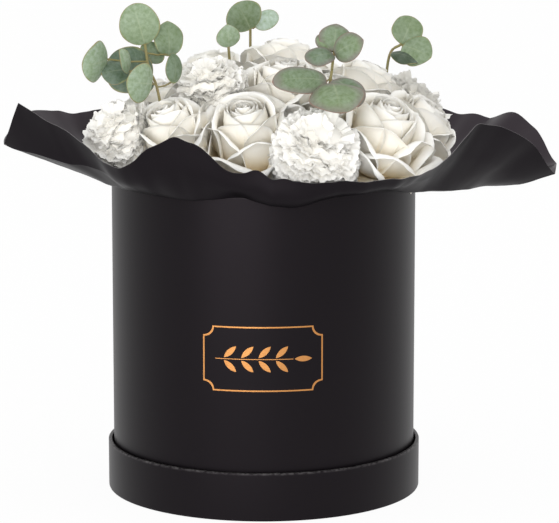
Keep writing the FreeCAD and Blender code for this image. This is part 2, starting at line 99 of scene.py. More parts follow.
# Paper collar rows, in degrees anticlockwise from +X and millimetres: angle, belly reach, belly height,
# edge reach, edge height
COLLAR_ROWS = [
    (-170, 117, 211.5, 170.5, 232.5),
    (-162, 114, 210.5, 164.5, 262.5),
    (-155, 110, 209, 148, 251.5),
    (-147, 107, 208, 135.5, 239),
    (-135.5, 106, 207.5, 128, 226),
    (-127, 105.5, 207, 126, 236),
    (-117, 105, 207, 121, 248),
    (-109, 104.5, 208, 117, 241),
    (-98, 103.5, 210, 113.5, 226),
    (-92, 105, 207, 112, 227.5),
    (-86, 106, 204.5, 113, 223),
    (-80, 106.5, 203.5, 115, 222),
    (-69, 106, 207.5, 119, 221),
    (-58, 107, 209.5, 124, 220),
    (-49, 108, 210, 130, 220.5),
    (-40, 111, 208.5, 136, 222.5),
    (-35, 113, 207, 139, 228.5),
    (-29, 116, 206, 145, 240.5),
    (-22.5, 121, 205, 151, 250),
    (-17.5, 126, 203.5, 159, 247.5),
    (-13, 131, 202.5, 168, 241),
    (-7, 137, 201, 179, 227.5),
    (0, 140, 200.5, 192, 208.5),
    (5.5, 138, 202, 195.5, 213),
    (14, 132, 206, 186.5, 233),
    (18, 128, 207, 178, 242.5),
    (24, 122, 208, 168, 237),
    (31, 118, 209, 158, 238),
    (45, 112, 209, 140, 244),
    (60, 108, 209, 130, 236),
    (75, 107, 208, 126, 246),
    (90, 107, 208, 126, 238),
    (105, 107, 208, 126, 244),
    (120, 108, 209, 127, 236),
    (138.5, 110, 210, 128.5, 245),
    (151, 112, 210.5, 136, 240),
    (160, 116, 211, 146, 243.5),
    (169, 118, 211.5, 156.5, 247),
    (180, 118, 211.5, 169, 234),
]
# Fold of the turned-up left flap, by angle: reach, height. Elsewhere the panel only bulges.
COLLAR_FOLDS = {
    -170: (169.5, 232), -162: (151, 228), -155: (134, 224.5), -147: (123, 221),
}
COLLAR_BULGE = 2.5
# The near panel of the right wing, between these angles, is almost flat
NEAR_PANEL = (-48.0, -1.0)
NEAR_BULGE = 0.8
# Spans of angles where the paper is flat to both sides of its fold: fading in from, to, fading out from, to
FLAT_SPANS = [(-174.0, -170.0, -147.0, -141.0), (-52.0, -40.0, -4.0, 3.0)]
# Rows of the sheet inside the box, over the rim in steps of an angle, and free
INSIDE_STEPS = 4
RIM_STEPS = 17
RIM_STEP_ANGLE = 10
RIM_SINK = 0.0006
FREE_STEPS = 27
FREE_START = INSIDE_STEPS + RIM_STEPS - 1
# The sheet: angle past which a bend is a crease, radius inside the box, steps round it, thickness
CREASE_ANGLE = 14.0
COLLAR_RADIUS = 0.0965
COLLAR_STEPS = 480
COLLAR_THICKNESS = 0.0003
# Angles at which the edge has a corner
COLLAR_CORNERS = {-170, -162, -155, 0, 5.5, 24}
# Crumples that fade in past the rim, and the flutter of the free edge
CRUMPLE = 0.0006
CRUMPLE_SCALE = 26
# Ridged noise of the crumples: roughness, gap between octaves, octaves, offset, gain
CRUMPLE_RIDGES = (1.0, 2.1, 3, 1.0, 2.0)
CRUMPLE_REACH = (0.104, 0.125)
FLUTTER = 0.0022
FLUTTER_SCALE = 11
FLUTTER_SHARE = (0.45, 1.0)

# Flowers, in millimetres: centre of the face, lean of the axis (x, y), head radius, turn in degrees
ROSES = {
    "rose_01": ((-13, -68, 266), (-0.09, -0.46), 36, 0),
    "rose_02": ((85, -56, 265), (0.38, -0.30), 35, 40),
    "rose_03": ((116, -8, 256), (0.66, -0.08), 34, 15),
    "rose_04": ((-65, -62, 264), (-0.30, -0.34), 31, 75),
    "rose_05": ((14, -22, 290), (0.02, -0.16), 34, 110),
    "rose_06": ((-72, -12, 271), (-0.42, 0), 30, 150),
    "rose_07": ((-42, 24, 289), (-0.26, 0.14), 32, 20),
    "rose_08": ((14, 36, 297), (0.05, 0.15), 33, 65),
    "rose_09": ((74, 12, 283), (0.38, 0.05), 32, 95),
    "rose_10": ((49, -28, 279), (0.20, -0.16), 27, 130),
    "rose_11": ((-84, 44, 262), (-0.55, 0.28), 31, 55),
    "rose_12": ((8, 84, 269), (0.05, 0.46), 33, 5),
    "rose_13": ((62, 70, 268), (0.38, 0.42), 32, 85),
}
CARNATIONS = {
    "carnation_1": ((38, -95, 255), (0.20, -0.56), 29, 0),
    "carnation_2": ((-100, -53, 258), (-0.50, -0.27), 28, 8),
    "carnation_3": ((-37, -24, 286), (-0.22, -0.14), 27, 16),
    "carnation_4": ((-54, 92, 260), (-0.34, 0.52), 29, 4),
    "carnation_5": ((107, 42, 262), (0.54, 0.24), 30, 12),
}
# Petal colours: white lip, cream face, and a deeper warm colour at the foot that is painted shade of the
# recesses deep in each head
ROSE_WHITE = (0.960, 0.950, 0.915)
ROSE_CREAM = (0.972, 0.930, 0.835)
ROSE_PAINTED_SHADE = (0.972, 0.835, 0.590)
CARNATION_WHITE = (0.925, 0.915, 0.885)
CARNATION_CREAM = (0.955, 0.930, 0.870)
CARNATION_PAINTED_SHADE = (0.955, 0.880, 0.740)
# Heads, in head radii, with petals set at the golden angle and waved at random phases
ROSE_HEIGHT = 1.5
CARNATION_HEIGHT = 1.95
GOLDEN_ANGLE = 137.508
PHASES = (0, 6.28)
# Roses: petals, then the cup, outline, waves, tightest bend, rolled edge and pale lip of each
ROSE_PETALS = 36
ROSE_GUARDS = 5
CUP_LOWER = (1.12, 0.04)
CUP_UPPER = (1.10, 0.62)
PETAL_WAIST = 0.5
PETAL_POWER = 2.6
PETAL_CLAW = 0.25
PETAL_WAVES = 5.0
TIGHTEST_BEND = 0.05
ROLL_START = 0.35
ROLL_MIDDLE = 0.72
LIP_TINT = 0.25
LIP_WIDTH = 0.10
# Carnations: petals, packed middle, then the claw, teeth, ruffles and fan of each petal
CARNATION_PETALS = 120
CARNATION_SEED = 100
CARNATION_MIDDLE = 0.95
CARNATION_CORE = 0.84
CORE_TINT = 0.8
# The claws' tint leans towards the painted warm shade at the heart of the head
CLAW_TINT = 0.40
CLAW_WIDTH = 0.10
TEETH = 0.035
TEETH_WAVES = 9
RUFFLE = 0.060
RUFFLE_WAVES = 5.0
FRILL = 0.030
FRILL_WAVES = 13.0
FAN_ROUND = 0.16
# Stems, and how heads reach, press against each other and rest on the collar
STEM_RADIUS = 0.0022
STEM_LENGTH = 0.040
STEM_ENTRY = 0.2
HEAD_REACH = 1.3
PRESS_DEPTH = 0.009
PRESS_OVERLAP = 0.008
PETAL_LIFT = 0.0015

# Eucalyptus twigs, leaf stalks and leaves
TWIG_RADIUS = 0.0009
PETIOLE_RADIUS = 0.0006
PETIOLE_SIDES = 6
PETIOLE_SAG = 0.001
LEAF_ROOT = 0.06
LEAF_CUP = 0.16
LEAF_DEPTH = 0.8
LEAF_FOLDS = (0.03, 0.12)
LEAF_WAVES = (0.01, 0.04)
BLADE_THICKNESS = 0.0004
# Greens by leaf tone; the darkest stand for leaves in shadow, as painted shade
LEAF_GREENS = [
    (0.0, (0.030, 0.045, 0.022)),
    (0.35, (0.105, 0.155, 0.108)),
    (0.65, (0.225, 0.295, 0.165)),
    (1.0, (0.500, 0.610, 0.540)),
]
# Leaf finishes: colour of the thin rim, colour of the blush towards it, how far the blush reaches
LEAF_FINISHES = {
    "leaf_sage": ((0.300, 0.150, 0.060), (0.260, 0.310, 0.140), 0.08),
    "leaf_plum": ((0.270, 0.090, 0.045), (0.200, 0.165, 0.160), 0.42),
}
PLUM_SPRIG = "eucalyptus_centre"
# Sprigs, in millimetres: stem points from the foam up, then leaves as foot, tip, width, facing, tone and
# how pointed the tip is. The tone is the leaf's own green, made darker as painted shade on leaves in shadow.
SPRIGS = {
    "eucalyptus_left": (
        [(-50, -34, 190), (-62, -42, 240), (-68, -48, 272), (-73, -44, 283), (-76, -34, 298)],
        [
            ((-76, -33, 298), (-83, -34, 324), 26, (0, -1, 0.1), 0.70, 0.50),
            ((-61, -30, 290), (-62, -26, 312), 20, (0.3, -1, 0.1), 0.55, 0.80),
            ((-100, -52, 291), (-114, -70, 289), 27, (0.8, -0.6, -0.2), 0.76, 0.52),
            ((-72, -40, 275), (-100, -32, 287), 31, (0.1, -1, 0.3), 0.36, 0.50),
            ((-86, -58, 283), (-91, -66, 298), 12, (0.9, -0.5, 0.1), 0.74, 0.60),
            ((-71, -60, 276), (-86, -74, 279), 26, (0.6, -0.8, -0.1), 0.74, 0.55),
            ((-86, -50, 283), (-103, -56, 281), 18, (0, -0.8, 0.5), 0.33, 0.55),
            ((-75, -32, 287), (-68, -27, 297), 17, (0.2, -1, 0.2), 0.55, 0.55),
            ((-58, -44, 274), (-58, -40, 293), 14, (0.7, -0.7, 0), 0.46, 0.60),
            ((-70, -54, 275), (-85, -56, 271), 14, (0, -0.7, 0.6), 0.20, 0.55),
        ],
    ),
    "eucalyptus_back_left": (
        [(-14, 12, 190), (-20, 8, 255), (-23, 4, 293)],
        [((-23, 4, 292), (-24, 2, 307), 16, (0.3, -1, 0.1), 0.74, 0.85)],
    ),
    "eucalyptus_top": (
        [(-8, 48, 190), (-9, 52, 262), (-9, 49, 300)],
        [
            ((-9, 48, 299), (-18, 44, 317), 25, (0.1, -1, 0.2), 0.56, 0.50),
            ((-6, 52, 300), (9, 60, 308), 13, (-0.2, -1, 0.2), 0.95, 0.50),
        ],
    ),
    "eucalyptus_centre": (
        [(30, -46, 190), (38, -54, 245), (43, -64, 280), (44, -58, 286), (45, -47, 293)],
        [
            ((45, -44, 294), (47, -36, 311), 21, (0, -1, 0.3), 0.54, 0.72),
            ((46, -47, 293), (64, -56, 303), 19, (-0.2, -0.9, 0.4), 0.57, 0.72),
            ((45, -49, 293), (27, -60, 290), 15, (-0.2, -0.8, 0.6), 0.44, 0.52),
            ((43, -44, 295), (35, -38, 304), 10, (0.3, -1, 0.2), 0.60, 0.60),
            ((46, -66, 279), (60, -84, 264), 22, (0.3, -0.8, 0.4), 0.46, 0.52),
            ((44, -72, 277), (49, -98, 262), 34, (0, -0.7, 0.7), 0.60, 0.50),
            ((40, -68, 278), (6, -86, 280), 19, (0.2, -0.8, 0.5), 0.52, 0.52),
        ],
    ),
    "eucalyptus_right": (
        [(70, -6, 190), (79, 14, 250), (83, 20, 284), (91, 21, 292)],
        [
            ((91, 21, 292), (99, 26, 309), 21, (0, -1, 0.2), 0.60, 0.50),
            ((92, 18, 291), (110, 10, 284), 22, (0.3, -0.9, 0.3), 0.60, 0.60),
            ((84, 16, 286), (102, 8, 281), 12, (0, -0.6, 0.8), 0.10, 0.60),
        ],
    ),
}


def smoothstep(low, high, value):
    """0 to 1 as the value goes from low to high, with no kink at either end."""
    share = min(max((value - low) / (high - low), 0.0), 1.0)
    return share * share * (3 - 2 * share)


def stem_rings(points, radius, sides):
    """Rings of points round a line."""
    rings = []
    for index, point in enumerate(points):
        way = (points[min(index + 1, len(points) - 1)] - points[max(index - 1, 0)]).normalized()
        first = way.orthogonal().normalized()
        second = way.cross(first)
        ring = []
        for corner in range(sides):
            turn = 2 * math.pi * corner / sides
            ring.append(point + first * radius * math.cos(turn) + second * radius * math.sin(turn))
        rings.append(ring)
    return rings


class Surface:
    """Grids of points gathered into one mesh, with a UV map, a tint per point and a tone per grid, which on
    leaves is partly painted shade.
    """

    def __init__(self):
        self.points = []
        self.faces = []
        self.uvs = []
        self.tints = []
        self.tones = []

    def grid(self, rows, tints=None, closed=False, tone=0.5):
        """Adds rows of points and their tints, if any. A closed grid joins its last column to its first."""
        start = len(self.points)
        width = len(rows[0])
        for row_index, row in enumerate(rows):
            self.points += row
            self.tints += tints[row_index] if tints else [0.0] * width
            self.tones += [tone] * width
            along = row_index / (len(rows) - 1)
            self.uvs += [(column / (width - 1), along) for column in range(width)]
        for row_index in range(len(rows) - 1):
            for column in range(width if closed else width - 1):
                here = start + row_index * width + column
                there = start + row_index * width + (column + 1) % width
                self.faces.append((here, there, there + width, here + width))

    def tube(self, points, radius, sides=8):
        """Adds a round stalk along the points."""
        self.grid(stem_rings(points, radius, sides), closed=True)

    def build(self, name, material):
        """The mesh as a piece in the scene."""
        mesh = bpy.data.meshes.new(name)
        mesh.from_pydata(self.points, [], self.faces)
        mesh.shade_smooth()
        layer = mesh.uv_layers.new(name="uv")
        for loop in mesh.loops:
            layer.data[loop.index].uv = self.uvs[loop.vertex_index]
        for attribute, values in (("tint", self.tints), ("tone", self.tones)):
            mesh.attributes.new(attribute, "FLOAT", "POINT").data.foreach_set("value", values)
        mesh.materials.append(material)
        piece = bpy.data.objects.new(name, mesh)
        bpy.context.scene.collection.objects.link(piece)
        return piece


class Shader:
    """A node material with its Principled shader and short calls for the nodes that feed it."""

    def __init__(self, name):
        self.material = bpy.data.materials.new(name)
        self.material.use_nodes = True
        self.nodes = self.material.node_tree.nodes
        self.principled = self.nodes["Principled BSDF"]

    def link(self, source, target):
        self.material.node_tree.links.new(source, target)

    def set(self, **values):
        for name, value in values.items():
            self.principled.inputs[name.replace("_", " ")].default_value = value

    def feed(self, name, source):
        self.link(source, self.principled.inputs[name])

    def coordinates(self, kind="Object", scale=(1, 1, 1)):
        mapping = self.nodes.new("ShaderNodeMapping")
        mapping.inputs["Scale"].default_value = scale
        self.link(self.nodes.new("ShaderNodeTexCoord").outputs[kind], mapping.inputs["Vector"])
        return mapping.outputs["Vector"]

    def noise(self, scale, detail=3.0, coordinates=None):
        texture = self.nodes.new("ShaderNodeTexNoise")
        texture.inputs["Scale"].default_value = scale
        texture.inputs["Detail"].default_value = detail
        self.link(coordinates or self.coordinates(), texture.inputs["Vector"])
        return texture.outputs["Fac"]

    def attribute(self, name):
        node = self.nodes.new("ShaderNodeAttribute")
        node.attribute_name = name
        return node.outputs["Fac"]

    def ramp(self, source, stops):
        """Colour ramp with (place, colour) stops."""
        node = self.nodes.new("ShaderNodeValToRGB")
        elements = node.color_ramp.elements
        while len(elements) < len(stops):
            elements.new(0.5)
        for element, (place, colour) in zip(elements, stops):
            element.position = place
            element.color = (*colour, 1.0)
        self.link(source, node.inputs["Fac"])
        return node.outputs["Color"]

    def level(self, source, low, high):
        """The source from 0 to 1 spread over low to high."""
        node = self.nodes.new("ShaderNodeMapRange")
        node.inputs["To Min"].default_value = low
        node.inputs["To Max"].default_value = high
        self.link(source, node.inputs["Value"])
        return node.outputs["Result"]

    def plug(self, socket, value):
        """Sets a socket to a number or a colour, or links it to a source."""
        if isinstance(value, (int, float)):
            socket.default_value = value
        elif isinstance(value, tuple):
            socket.default_value = (*value, 1.0)
        else:
            self.link(value, socket)

    def math(self, operation, first, second):
        node = self.nodes.new("ShaderNodeMath")
        node.operation = operation
        for socket, value in zip(node.inputs, (first, second)):
            self.plug(socket, value)
        return node.outputs["Value"]

    def mix(self, factor, first, second, blend="MIX"):
        """Mix of two colours; a Mix node has its colour sockets at these places."""
        node = self.nodes.new("ShaderNodeMix")
        node.data_type = "RGBA"
        node.blend_type = blend
        for place, value in ((0, factor), (6, first), (7, second)):
            self.plug(node.inputs[place], value)
        return node.outputs[2]

    def bump(self, height, strength, distance):
        node = self.nodes.new("ShaderNodeBump")
        node.inputs["Strength"].default_value = strength
        node.inputs["Distance"].default_value = distance
        self.link(height, node.inputs["Height"])
        self.feed("Normal", node.outputs["Normal"])


def cover_paper_material():
    """Black satin paper with fine fibres, faint cloudiness, and pale grey where the tint says: wear on the
    top edges together with a painted highlight of the edges catching light.
    """
    shader = Shader("cover_paper")
    clouds = shader.noise(22.0)
    patches = shader.ramp(shader.noise(420.0), [(0.35, (0, 0, 0)), (0.62, (1, 1, 1))])
    patchy_edge = shader.math("MULTIPLY", shader.attribute("tint"), patches)
    black = shader.mix(clouds, (0.0032, 0.0026, 0.0032), (0.0038, 0.0031, 0.0038))
    # Pale grey along the top edges: wear, and a painted highlight where the edge catches light
    shader.feed("Base Color", shader.mix(patchy_edge, black, (0.130, 0.122, 0.124)))
    shader.feed("Roughness", shader.level(clouds, 0.39, 0.40))
    shader.set(Specular_IOR_Level=0.14, Specular_Tint=PLUM)
    shader.bump(shader.noise(2600.0, 4.0), 0.02, 0.0001)
    return shader.material


def mottled(name, scale, dark, light, sheen=None, grain=None, **values):
    """Material mottled between two colours. Its sheen is a noise scale and two roughnesses, and its grain the
    noise scale, detail, strength and depth of a bump."""
    shader = Shader(name)
    shader.feed("Base Color", shader.mix(shader.noise(scale), dark, light))
    if sheen:
        sheen_scale, low, high = sheen
        shader.feed("Roughness", shader.level(shader.noise(sheen_scale), low, high))
    if grain:
        grain_scale, detail, strength, depth = grain
        shader.bump(shader.noise(grain_scale, detail), strength, depth)
    shader.set(**values)
    return shader.material


def collar_paper_material():
    """Coated black florist's paper, smooth, with a slight plum tint."""
    return mottled(
        "collar_paper", 16.0, (0.0052, 0.0043, 0.0053), (0.0068, 0.0056, 0.0070), sheen=(60.0, 0.38, 0.44),
        grain=(1400.0, 3.0, 0.05, 0.0002), Specular_IOR_Level=0.10, Specular_Tint=PLUM,
    )


def collar_inside_material():
    """Inner side of the collar paper, glossier than the outside."""
    return mottled(
        "collar_inside", 18.0, (0.0090, 0.0068, 0.0086), (0.0120, 0.0092, 0.0115), sheen=(70.0, 0.26, 0.34),
        grain=(900.0, 3.0, 0.05, 0.0002), Specular_IOR_Level=0.45, Specular_Tint=PLUM,
    )


def cut_edge_material():
    """Cut edge of the collar paper, painted light grey as the highlight the edge catches."""
    return mottled("collar_edge_highlight", 900.0, (0.09, 0.085, 0.09), (0.20, 0.19, 0.19), Roughness=0.8)


def lining_material():
    """Matt black lining paper."""
    return mottled(
        "lining_paper", 40.0, (0.010, 0.010, 0.011), (0.016, 0.015, 0.017),
        grain=(2200.0, 4.0, 0.2, 0.0002), Roughness=0.7, Specular_IOR_Level=0.25,
    )


def board_material():
    """Raw grey board with flecks of pulp."""
    shader = Shader("grey_board")
    flecks = shader.noise(1200.0, 2.0)
    greys = [(0.3, (0.20, 0.18, 0.15)), (0.5, (0.33, 0.30, 0.26)), (0.75, (0.42, 0.39, 0.34))]
    shader.feed("Base Color", shader.ramp(flecks, greys))
    shader.set(Roughness=0.9)
    shader.bump(shader.noise(1800.0, 4.0), 0.3, 0.0003)
    return shader.material


def foil_material():
    """Copper foil stamped into paper, with the paper's grain showing through."""
    return mottled(
        "copper_foil", 60.0, (0.46, 0.19, 0.060), (0.66, 0.32, 0.11), sheen=(500.0, 0.30, 0.48),
        grain=(2600.0, 3.0, 0.15, 0.0002), Metallic=1.0,
    )


def cup_material():
    """Matt black plastic."""
    return mottled(
        "cup_plastic", 25.0, (0.010, 0.010, 0.011), (0.015, 0.015, 0.016), sheen=(300.0, 0.42, 0.55),
        grain=(900.0, 3.0, 0.05, 0.0002), Specular_IOR_Level=0.28,
    )


def foam_material():
    """Dry floral foam: dull green with fine pores."""
    shader = Shader("floral_foam")
    pores = shader.noise(1600.0, 5.0)
    greens = [(0.3, (0.030, 0.060, 0.030)), (0.6, (0.085, 0.150, 0.080))]
    shader.feed("Base Color", shader.ramp(pores, greens))
    shader.set(Roughness=0.95)
    shader.bump(pores, 0.6, 0.0008)
    return shader.material


def petal_material(name, white, cream, depth):
    """Soft petal: white towards the lip and creamy on its face, deepening towards the foot to a warm colour
    that is painted shade of the recesses, with fine veins along it.
    """
    shader = Shader(name)
    tint = shader.attribute("tint")
    blush = shader.math("ADD", tint, shader.level(shader.noise(130.0), -0.10, 0.10))
    # The low end of the ramp is painted warm shade where petal feet sit in recesses
    shader.feed("Base Color", shader.ramp(blush, [(0.15, depth), (0.70, cream), (1.0, white)]))
    shader.set(Roughness=0.65, Specular_IOR_Level=0.2)
    veins = shader.noise(9.0, 4.0, shader.coordinates("UV", (14.0, 1.2, 1.0)))
    shader.bump(veins, 0.10, 0.0005)
    return shader.material


def leaf_material(name, rim, blush, blush_reach):
    """Waxy round leaf: green after its tone, darker as painted shade on leaves in shadow, with a bluish
    bloom, veins, a blush and a thin rim.
    """
    shader = Shader(name)
    # Dark greens from the tone are painted shade on leaves that sit in shadow
    green = shader.ramp(shader.attribute("tone"), LEAF_GREENS)
    bloom = shader.ramp(shader.noise(70.0, 2.0), [(0.40, (0, 0, 0)), (0.72, (0.6, 0.6, 0.6))])
    waxy = shader.mix(bloom, green, shader.mix(0.4, green, (0.40, 0.47, 0.43)))
    specks = shader.noise(420.0, 6.0)
    shading = shader.ramp(specks, [(0.32, (0.66, 0.72, 0.56)), (0.64, (1.0, 1.0, 1.0))])
    speckled = shader.mix(1.0, waxy, shading, "MULTIPLY")
    split = shader.nodes.new("ShaderNodeSeparateXYZ")
    shader.link(shader.coordinates("UV"), split.inputs["Vector"])
    across = shader.math("ABSOLUTE", shader.math("SUBTRACT", split.outputs["X"], 0.5), 0.0)
    fading = shader.ramp(split.outputs["Y"], [(0.25, (1, 1, 1)), (0.85, (0.1, 0.1, 0.1))])
    midrib = shader.math("MULTIPLY", fading, shader.ramp(across, [(0.0, (0.5, 0.5, 0.5)), (0.02, (0, 0, 0))]))
    upward = shader.math("MULTIPLY", split.outputs["Y"], 9.0)
    slant = shader.math("SUBTRACT", upward, shader.math("MULTIPLY", across, 7.0))
    stripes = shader.math("PINGPONG", slant, 0.5)
    side_veins = shader.ramp(stripes, [(0.0, (0.18, 0.18, 0.18)), (0.07, (0, 0, 0))])
    ribs = shader.math("MAXIMUM", midrib, side_veins)
    ribbed = shader.mix(ribs, speckled, shader.mix(0.55, green, (0.50, 0.54, 0.36)))
    tint = shader.attribute("tint")
    ragged = shader.math("ADD", tint, shader.level(shader.noise(110.0, 4.0), -0.22, 0.22))
    blushing = shader.ramp(ragged, [(0.0, (0.75, 0.75, 0.75)), (blush_reach, (0, 0, 0))])
    blushed = shader.mix(blushing, ribbed, blush)
    edge = shader.ramp(tint, [(0.01, (1, 1, 1)), (0.05, (0, 0, 0))])
    patchy_edge = shader.math("MULTIPLY", edge, shader.level(shader.noise(160.0), 0.1, 0.9))
    shader.feed("Base Color", shader.mix(patchy_edge, blushed, rim))
    shader.feed("Roughness", shader.level(specks, 0.45, 0.58))
    shader.set(Specular_IOR_Level=0.35)
    shader.bump(shader.math("ADD", specks, ribs), 0.12, 0.0004)
    return shader.material


def stem_material():
    """Yellow-green to brown stalk."""
    return mottled(
        "stem", 90.0, (0.20, 0.21, 0.055), (0.27, 0.20, 0.10), grain=(700.0, 3.0, 0.2, 0.0003), Roughness=0.6,
    )


def floor_material():
    """Pale floor that keeps the shadow, and reads as white to the eye and in reflections."""
    shader = Shader("pale_floor")
    shader.set(Base_Color=(0.86, 0.86, 0.86, 1.0), Roughness=0.8)
    rays = shader.nodes.new("ShaderNodeLightPath")
    seen = shader.math("MAXIMUM", rays.outputs["Is Camera Ray"], rays.outputs["Is Glossy Ray"])
    shown = shader.math("MAXIMUM", seen, rays.outputs["Is Transmission Ray"])
    glow = shader.nodes.new("ShaderNodeEmission")
    both = shader.nodes.new("ShaderNodeMixShader")
    shader.link(shader.math("MULTIPLY", shown, FLOOR_GLOW), both.inputs["Fac"])
    shader.link(shader.principled.outputs["BSDF"], both.inputs[1])
    shader.link(glow.outputs["Emission"], both.inputs[2])
    shader.link(both.outputs["Shader"], shader.nodes["Material Output"].inputs["Surface"])
    return shader.material


def make_stage():
    """Floor, world light and lamps."""
    bpy.ops.mesh.primitive_plane_add(size=FLOOR_SIZE, location=(0, 0, FLOOR_LEVEL))
    floor = bpy.context.object
    floor.name = "floor"
    floor.data.materials.append(floor_material())
    world = bpy.data.worlds.new("studio")
    world.use_nodes = True
    background = world.node_tree.nodes["Background"]
    background.inputs["Color"].default_value = (1.0, 1.0, 1.0, 1.0)
    background.inputs["Strength"].default_value = WORLD_LEVEL
    bpy.context.scene.world = world
    for name, (place, target, width, height, watts) in LAMPS.items():
        lamp = bpy.data.lights.new(name, "AREA")
        lamp.shape = "RECTANGLE"
        lamp.size = width
        lamp.size_y = height
        lamp.energy = watts
        holder = bpy.data.objects.new(name, lamp)
        holder.location = place
        holder.visible_camera = False
        holder.rotation_euler = (Vector(target) - Vector(place)).to_track_quat("-Z", "Y").to_euler()
        bpy.context.scene.collection.objects.link(holder)
    bpy.context.scene.view_settings.view_transform = "Standard"


def make_camera():
    """Camera where the photograph was taken."""
    lens = bpy.data.cameras.new("camera")
    lens.sensor_fit = "HORIZONTAL"
    lens.lens = lens.sensor_width * FOCAL_PIXELS / PICTURE_WIDTH
    camera = bpy.data.objects.new("camera", lens)
    camera.location = CAMERA_PLACE
    camera.rotation_euler = (math.radians(90 - CAMERA_DOWN), 0, 0)
    bpy.context.scene.collection.objects.link(camera)
    bpy.context.scene.camera = camera


def rounded(corner, before, after, radius, steps=5):
    """Points of a small arc that replaces a corner of a (reach, height) profile."""
    corner = Vector(corner)
    start = corner + (Vector(before) - corner).normalized() * radius
    end = corner + (Vector(after) - corner).normalized() * radius
    points = []
    for step in range(steps + 1):
        share = step / steps
        points.append(start * (1 - share) ** 2 + corner * 2 * share * (1 - share) + end * share ** 2)
    return points


def wrapped_wall(name, radius, bottom, top, turn_in, wear_and_glint, material):
    """Paper round a board wall, turned in over the edge, with rounded edges and a seam at the back."""
    inner = radius - WALL
    corners = [
        (radius - FOOT_TURN, bottom), (radius, bottom), (radius, top), (inner, top), (inner, top - turn_in),
    ]
    profile = [Vector(corners[0])]
    profile += rounded(corners[1], corners[0], corners[2], EDGE_ROUND)
    profile.append(Vector((radius, top - WEAR_AND_GLINT_DEPTH)))
    profile += rounded(corners[2], corners[1], corners[3], EDGE_ROUND)
    profile += rounded(corners[3], corners[2], corners[4], EDGE_ROUND)
    profile += [Vector((inner, top - WEAR_AND_GLINT_DEPTH)), Vector(corners[4])]
    rows = []
    tints = []
    for reach, height in profile:
        row = []
        tint = []
        for step in range(LATHE_STEPS):
            turn = 2 * math.pi * step / LATHE_STEPS
            away = abs(math.remainder(turn - math.radians(SEAM_ANGLE), 2 * math.pi)) * radius
            place = Vector((math.cos(turn), math.sin(turn), 0))
            uneven = UNEVEN * noise.noise(place * UNEVEN_ROUND + UP * height * UNEVEN_UP)
            lap = PAPER if away < SEAM_WIDTH / 2 and reach > radius - EDGE_ROUND else 0.0
            row.append(place * (reach + uneven + lap) + UP * height)
            # The tint marks the pale top edges: patchy wear together with a painted highlight of the edge
            near_top = smoothstep(top - WEAR_AND_GLINT_DEPTH, top, height)
            patchy = 0.5 + 0.5 * noise.noise(place * WEAR_AND_GLINT_ROUND + UP * 3)
            tint.append(wear_and_glint * near_top * patchy)
        rows.append(row)
        tints.append(tint)
    surface = Surface()
    surface.grid(rows, tints, closed=True)
    return surface.build(name, material)


def make_card():
    """Lid, box, cup and foam: the cover papers are new meshes, the other pieces keep their solids."""
    paper = cover_paper_material()
    lid_cover = wrapped_wall("lid_cover", LID_RADIUS, 0.0, LID_TOP, LID_TURN_IN, LID_WEAR_AND_GLINT, paper)
    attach(lid_cover, "lid")
    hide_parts("lid_cover_paper")
    box_cover = wrapped_wall("box_cover", BODY_RADIUS, BODY_FLOOR, RIM, TURN_IN, BOX_WEAR_AND_GLINT, paper)
    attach(box_cover, "box")
    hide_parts("box_cover_paper")
    finishes = {
        paper: ["lid_face_paper", "box_base_paper"],
        lining_material(): ["lid_lining", "box_lining"],
        board_material(): ["lid_board_disc", "lid_board_band", "box_base", "box_tube"],
        foil_material(): ["foil_emblem"],
        cup_material(): ["liner_cup"],
        foam_material(): ["foam_lower", "foam_upper"],
    }
    for material, nodes in finishes.items():
        for node in nodes:
            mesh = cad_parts[node].data
            mesh.materials.clear()
            mesh.materials.append(material)


def rises(places, values):
    """Slope from each value to the next one round the ring."""
    slopes = []
    for index, place in enumerate(places):
        following = (index + 1) % len(places)
        slopes.append((values[following] - values[index]) / ((places[following] - place) % 360))
    return slopes


def gentle(before, after):
    """Slope at a point between two runs that keeps the line from overshooting."""
    return 0.0 if before * after <= 0 else 2 * before * after / (before + after)


def collar_values(angle, places, columns, column_rises):
    """Every collar size at one angle, smooth between the rows but with a crease at each corner."""
    for here in range(len(places)):
        following = (here + 1) % len(places)
        step = (places[following] - places[here]) % 360
        offset = (angle - places[here]) % 360
        if offset < step:
            break
    share = offset / step
    values = []
    for column, rise in zip(columns, column_rises):
        first = last = rise[here]
        if places[here] not in COLLAR_CORNERS:
            first = gentle(rise[here - 1], rise[here])
        if places[following] not in COLLAR_CORNERS:
            last = gentle(rise[here], rise[following])
        values.append(
            column[here] * (2 * share ** 3 - 3 * share ** 2 + 1)
            + column[following] * (3 * share ** 2 - 2 * share ** 3)
            + first * step * (share ** 3 - 2 * share ** 2 + share)
            + last * step * (share ** 3 - share ** 2)
        )
    return values


def between(points, share):
    """Point on a smooth line through the points."""
    place = share * (len(points) - 1)
    index = min(int(place), len(points) - 2)
    along = place - index
    here, there = points[index], points[index + 1]
    before = points[index - 1] if index else here * 2 - there
    after = points[index + 2] if index + 2 < len(points) else there * 2 - here
    return 0.5 * (
        here * 2 + (there - before) * along + (before * 2 - here * 5 + there * 4 - after) * along ** 2
        + (here * 3 - before - there * 3 + after) * along ** 3
    )


